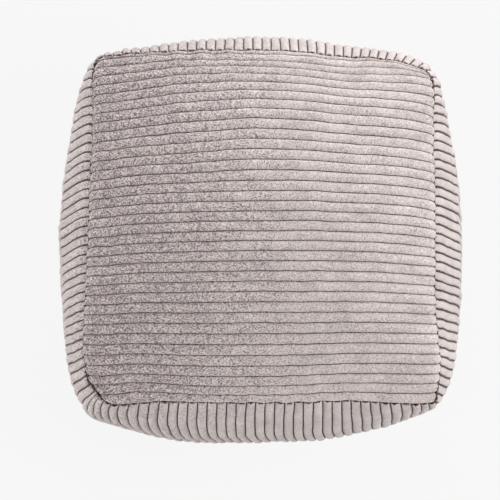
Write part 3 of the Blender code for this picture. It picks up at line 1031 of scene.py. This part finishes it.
def raise_wales(mesh, tree, panel, sizes, cloth):
    """Run the wale tree over a panel's net, and return the plain piece that it makes."""
    finish = panel.finish
    net = bpy.data.objects.new(panel.name + "_net", mesh)
    bpy.context.scene.collection.objects.link(net)
    modifier = net.modifiers.new("raised wales", "NODES")
    modifier.node_group = tree
    for name, value in (
        ("Wale height", finish.height * sizes.wale_height),
        ("Roundness", finish.fullness * sizes.wale_roundness),
        ("Tip radius", finish.tip * sizes.tip_radius),
        ("Groove share", finish.groove),
        ("Ruffled", finish.ruffled),
        ("Pile unevenness", sizes.pile_unevenness),
        ("Seed", panel.seed),
        ("Cloth", cloth),
    ):
        set_input(modifier, name, value)
    plain = bpy.data.meshes.new_from_object(evaluated(net))
    plain.name = panel.name
    piece = bpy.data.objects.new(panel.name, plain)
    bpy.context.scene.collection.objects.link(piece)
    bpy.data.objects.remove(net, do_unlink=True)
    smooth(plain)
    return piece


def smooth(mesh):
    """Shade every face smooth but for the sharp rim."""
    mesh.polygons.foreach_set("use_smooth", np.ones(len(mesh.polygons), bool))
    mesh.update()


def hand_over(piece, node):
    """Attach a finished panel to what it rides on, and hide the solid that it stands for."""
    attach(piece, BODY)
    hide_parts(node)


# ---------------------------------------------------------------- materials


# The cloth's patterns at real size. Tufts are about 0.6 mm wide, and are drawn at 0.7 mm, the finest
# speckle that the picture shows
TUFT = 0.7 * MM
TUFT_RELIEF = 0.5 * MM
BRUSHED_PATCH = 22 * MM
STREAK_LENGTH = 7 * MM
STREAK_WIDTH = 1.0 * MM
# The pile's shade goes from 0, its depth, to 1, its crest. Where it lies at rest, and how strongly the
# patches and the streaks change it
AT_REST = 0.72
BRUSHING = 0.5
STREAKS = 0.3
# The tufts' speckle is painted stronger at the bag's left, as painted raking light from the right: two places
# in X, and the tufts' contrast at each
CONTRAST = (-0.16, 0.04, 4.0, 0.9)
# There the pile is also painted in shade, as light from the right leaves it: two places in X, and how much of
# its depth that shows at each
LEFT_SHADE = (-0.17, -0.02, 0.5, 0.0)
LEFT_SHADE_POWER = 3.0         # but hardly on the sides, which get less of this painted shade
RAGGEDNESS = 0.5            # how far the tufts lean over the groove
GROOVE_EDGE = (0.3, 0.75)   # where the groove colour, dark ground weave and painted shade, ends and the pile begins, by the crest attribute
LINEAR_BELOW = 0.04045      # up to this, an sRGB value is a straight share of the light


def linear(hex_colour):
    """An sRGB hex colour as linear RGBA."""
    parts = [int(hex_colour[place:place + 2], 16) / 255 for place in (1, 3, 5)]
    lit = [part / 12.92 if part <= LINEAR_BELOW else ((part + 0.055) / 1.055) ** 2.4 for part in parts]
    return (*lit, 1.0)


def corduroy(colours):
    """Jumbo corduroy, polyester, woven with a cut pile and brushed.

    The cut pile is matt in front view and glows where it is seen edge on, so the wales look like soft
    velvet; tufts lean both ways after brushing, which speckles them; the thin ground weave in the
    grooves holds no pile and looks dark, and its colour is darkened further as painted shade.
    """
    material = bpy.data.materials.new(CLOTH_NAME)
    material.use_nodes = True
    tree = material.node_tree
    shader = tree.nodes["Principled BSDF"]
    shader.inputs["Roughness"].default_value = 0.9
    shader.inputs["Specular IOR Level"].default_value = 0.2
    shader.inputs["Sheen Weight"].default_value = 0.3
    shader.inputs["Sheen Roughness"].default_value = 0.5
    shader.inputs["Sheen Tint"].default_value = linear(colours.sheen)

    add = partial(add_node, tree)
    place = add("ShaderNodeTexCoord").outputs["Object"]
    crest, ruffled = (
        add("ShaderNodeAttribute", attribute_name=name).outputs["Fac"] for name in (CREST, SPECKLE_AND_SHADE))
    tufts = add("ShaderNodeTexVoronoi", {"Vector": place, "Scale": 1 / TUFT}).outputs
    tuft = add("ShaderNodeSeparateColor", (tufts["Color"],))
    shade = pile_shade(add, place, tuft, ruffled)
    pile = add(
        "ShaderNodeMix", {0: shade, 6: linear(colours.pile_deep), 7: linear(colours.pile)},
        data_type="RGBA").outputs[2]

    # Tufts lean over the groove here and there
    ragged = add(MATH, (crest, about_middle(add, tuft, RAGGEDNESS)), operation="ADD")
    depth = add("ShaderNodeMapRange", (ragged, *GROOVE_EDGE), interpolation_type="SMOOTHSTEP")
    # The groove colour is the ground weave, darkened as painted shade
    colour = add("ShaderNodeMix", {0: depth, 6: linear(colours.groove), 7: pile}, data_type="RGBA").outputs[2]
    tree.links.new(colour, shader.inputs["Base Color"])

    # The tufts' own relief
    relief = {"Strength": 1.0, "Distance": TUFT_RELIEF, "Height": tufts["Distance"]}
    bump = add("ShaderNodeBump", relief, invert=True)
    tree.links.new(bump.outputs[0], shader.inputs["Normal"])
    return material


def pile_shade(add, place, tuft, ruffled):
    """How light the pile is, from 0, its depth, to 1, its crest; towards the bag's left it is painted in
    shade.
    """
    # Brushing leaves patches that lean one way, and streaks along the wales
    patches = {"Vector": place, "Scale": 1 / BRUSHED_PATCH, "Detail": 2.0, "Roughness": 0.5}
    brushed = add("ShaderNodeTexNoise", patches)
    weave = add("ShaderNodeUVMap", uv_map=UV_NAME)
    squeeze = (1 / STREAK_LENGTH, 1 / STREAK_WIDTH, 1.0)
    stretched = add("ShaderNodeMapping", {"Vector": weave, "Scale": squeeze})
    streaky = {"Vector": stretched, "Scale": 1.0, "Detail": 2.0, "Roughness": 0.55}
    streaks = add("ShaderNodeTexNoise", streaky)

    rightward = add("ShaderNodeSeparateXYZ", (place,)).outputs["X"]
    # Painted raking light: the tufts' speckle is stronger towards the bag's left
    contrast = add("ShaderNodeMapRange", (rightward, *CONTRAST))
    contrast = add(MATH, (contrast, ruffled), operation="MULTIPLY")
    # Painted shade: the pile darkens towards the bag's left
    left_shade = add("ShaderNodeMapRange", (rightward, *LEFT_SHADE))
    panel_shade_share = add(MATH, (ruffled, LEFT_SHADE_POWER), operation="POWER")
    left_shade = add(MATH, (left_shade, panel_shade_share), operation="MULTIPLY")
    level = add(MATH, (AT_REST, left_shade), operation="SUBTRACT")
    shade = about_middle(add, tuft, contrast)
    shade = add(MATH, (shade, about_middle(add, brushed, BRUSHING)), operation="ADD")
    shade = add(MATH, (shade, about_middle(add, streaks, STREAKS)), operation="ADD")
    return add(MATH, (shade, level), operation="ADD", use_clamp=True)


def floor_paint(colours, glow):
    """Studio floor, white acrylic sheet, lit through from below: pale, even and almost shadowless."""
    material = bpy.data.materials.new("white acrylic floor, lit through")
    material.use_nodes = True
    shader = material.node_tree.nodes["Principled BSDF"]
    shader.inputs["Base Color"].default_value = linear(colours.floor)
    shader.inputs["Roughness"].default_value = 0.8
    shader.inputs["Specular IOR Level"].default_value = 0.0
    shader.inputs["Emission Color"].default_value = (1.0, 1.0, 1.0, 1.0)
    shader.inputs["Emission Strength"].default_value = glow
    return material


def shared(kind, name, make):
    """A material or node tree that is made once and used by every panel."""
    found = kind.get(name)
    return found if found else make()


# ---------------------------------------------------------------- stage


FLOOR_HALF = 6.0
AIM = Vector((0.0, 0.0, 0.165))     # the middle of the bag, at its belly
SENSOR = 36.0                       # width of the camera's sensor, in millimetres
PICTURE = 500                       # width and height of the picture, in pixels
MIDDLE_X = 260.3                    # where the bag's middle falls in it, in pixels
MIDDLE_Y = 242.7
LIGHT_SIZE = 0.9
# The soft lights: where each hangs, and the name of its power in the sidebar
LIGHTS = (
    ("right_light", (1.92, -0.12, 1.5), "right_power"),
    ("back_light", (0.0, 2.2, 0.62), "back_power"),
    ("low_light", (-2.18, -0.55, 0.45), "low_power"),
)


def lay_floor(colours, glow):
    """A wide plain floor at the level of the bag's base."""
    level = CAD_LOW.z
    mesh = bpy.data.meshes.new("floor")
    corners = [(x * FLOOR_HALF, y * FLOOR_HALF, level) for x, y in ((-1, -1), (1, -1), (1, 1), (-1, 1))]
    mesh.from_pydata(corners, [], [(0, 1, 2, 3)])
    mesh.materials.append(floor_paint(colours, glow))
    floor = bpy.data.objects.new("floor", mesh)
    bpy.context.scene.collection.objects.link(floor)


def light_room(scene, strength):
    """Even white light from all round."""
    world = bpy.data.worlds.new("studio")
    world.use_nodes = True
    background = world.node_tree.nodes["Background"]
    background.inputs["Color"].default_value = (1.0, 1.0, 1.0, 1.0)
    background.inputs["Strength"].default_value = strength
    scene.world = world


def hang_light(name, place, power):
    """A square soft light that faces the bag."""
    lamp = bpy.data.lights.new(name, "AREA")
    lamp.size = LIGHT_SIZE
    lamp.energy = power
    light = bpy.data.objects.new(name, lamp)
    light.location = place
    light.rotation_mode = "QUATERNION"
    light.rotation_quaternion = (AIM - Vector(place)).to_track_quat("-Z", "Y")
    bpy.context.scene.collection.objects.link(light)


def set_camera(scene, stage):
    """The camera looks down on the bag from just in front of it."""
    lens = bpy.data.cameras.new("camera")
    lens.sensor_width = SENSOR
    lens.lens = SENSOR * stage.camera_distance / stage.field
    camera = bpy.data.objects.new("camera", lens)
    back = Vector((0.0, -math.sin(stage.camera_tilt), math.cos(stage.camera_tilt)))
    upward = Vector((0.0, math.cos(stage.camera_tilt), math.sin(stage.camera_tilt)))
    # The bag lies a little off the middle of the picture
    metres = stage.field / PICTURE
    sideways = Vector((-(MIDDLE_X - PICTURE / 2) * metres, 0, 0))
    aim = AIM + sideways + upward * (MIDDLE_Y - PICTURE / 2) * metres
    camera.location = aim + back * stage.camera_distance
    camera.rotation_mode = "QUATERNION"
    camera.rotation_quaternion = (-back).to_track_quat("-Z", "Y")
    scene.collection.objects.link(camera)
    scene.camera = camera


# ---------------------------------------------------------------- operators


def make_panel(context, panel):
    """Cut and raise one panel, attach it and hide the solid that it stands for."""
    scene = context.scene
    sizes = scene.footstool_sizes
    tree = shared(bpy.data.node_groups, TREE_NAME, wale_tree)
    cloth = shared(bpy.data.materials, CLOTH_NAME, lambda: corduroy(scene.footstool_colours))
    mesh = PanelNet(panel, sizes, Bag(sizes), Filling()).mesh()
    hand_over(raise_wales(mesh, tree, panel, sizes, cloth), panel.node)


class FOOTSTOOL_OT_filling(bpy.types.Operator):
    """Press the beads out against the cloth, which creases beside its seams"""

    bl_idname = "footstool.filling"
    bl_label = "Filling"

    def execute(self, context):
        bag = Bag(context.scene.footstool_sizes, settled=False)
        shell = bag_shell(bag)
        mesh = shell.data
        mesh.name = SHELL_NAME
        push = creases(shell, press_filling(shell, bag))
        mesh.attributes.new(PUSH, "FLOAT", "POINT").data.foreach_set("value", push)
        bpy.data.objects.remove(shell, do_unlink=True)
        return {"FINISHED"}


class FOOTSTOOL_OT_top(bpy.types.Operator):
    """Cut the crowned top panel and raise its wales, left to right"""

    bl_idname = "footstool.top"
    bl_label = "Top panel"

    def execute(self, context):
        wales = context.scene.footstool_sizes.top_wales
        make_panel(context, Panel(
            "top_cover", "top_panel", "top", TOP_NET, wales, TOP_SLIPS, TOP_FINISH, seed=1))
        return {"FINISHED"}


class FOOTSTOOL_OT_sides(bpy.types.Operator):
    """Cut the four side panels and raise their wales, upright"""

    bl_idname = "footstool.sides"
    bl_label = "Side panels"

    def execute(self, context):
        for seed, (side, wales) in enumerate(zip(SIDES, SIDE_WALES), 10):
            make_panel(context, Panel(
                "side_cover_" + side, "side_panel_" + side, side, SIDE_NET, wales,
                (SIDE_SLIP_PLACES, SIDE_SLIP[side]), SIDE_FINISHES[side], seed))
        return {"FINISHED"}


class FOOTSTOOL_OT_base(bpy.types.Operator):
    """Cut the base panel, pressed flat where the bag rests"""

    bl_idname = "footstool.base"
    bl_label = "Base panel"

    def execute(self, context):
        wales = context.scene.footstool_sizes.base_wales
        make_panel(context, Panel(
            "base_cover", "base_panel", "base", BASE_NET, wales, BASE_SLIPS, BASE_FINISH, seed=2))
        return {"FINISHED"}


class FOOTSTOOL_OT_stage(bpy.types.Operator):
    """Lay the pale floor, hang the soft lights and set the camera above the bag"""

    bl_idname = "footstool.stage"
    bl_label = "Stage"

    def execute(self, context):
        scene = context.scene
        stage = scene.footstool_stage
        scene.view_settings.view_transform = "Standard"
        lay_floor(scene.footstool_colours, stage.floor_glow)
        light_room(scene, stage.room_light)
        for name, place, power in LIGHTS:
            hang_light(name, place, getattr(stage, power))
        set_camera(scene, stage)
        return {"FINISHED"}


class FOOTSTOOL_PT_sidebar(bpy.types.Panel):
    """Steps and sizes of the footstool"""

    bl_idname = "FOOTSTOOL_PT_sidebar"
    bl_label = "Corduroy footstool"
    bl_space_type = "VIEW_3D"
    bl_region_type = "UI"
    bl_category = "Footstool"

    def draw(self, context):
        for step in STEPS:
            self.layout.operator(step.bl_idname)
        for name, _ in GROUPS:
            group = getattr(context.scene, name)
            box = self.layout.box()
            for key in group.__annotations__:
                box.prop(group, key)


GROUPS = (
    ("footstool_sizes", FootstoolSizes),
    ("footstool_colours", FootstoolColours),
    ("footstool_stage", FootstoolStage),
)
STEPS = (FOOTSTOOL_OT_filling, FOOTSTOOL_OT_top, FOOTSTOOL_OT_sides, FOOTSTOOL_OT_base, FOOTSTOOL_OT_stage)


def register():
    """Add the footstool's classes and the groups of sizes that they read."""
    for name, group in GROUPS:
        bpy.utils.register_class(group)
        setattr(bpy.types.Scene, name, bpy.props.PointerProperty(type=group))
    for step in STEPS:
        bpy.utils.register_class(step)
    bpy.utils.register_class(FOOTSTOOL_PT_sidebar)


def unregister():
    """Take away what register added."""
    bpy.utils.unregister_class(FOOTSTOOL_PT_sidebar)
    for step in reversed(STEPS):
        bpy.utils.unregister_class(step)
    for name, group in reversed(GROUPS):
        delattr(bpy.types.Scene, name)
        bpy.utils.unregister_class(group)


def main():
    """Make every piece in order."""
    register()
    bpy.ops.footstool.filling()
    bpy.ops.footstool.top()
    bpy.ops.footstool.sides()
    bpy.ops.footstool.base()
    bpy.ops.footstool.stage()


if __name__ == "__main__":
    main()
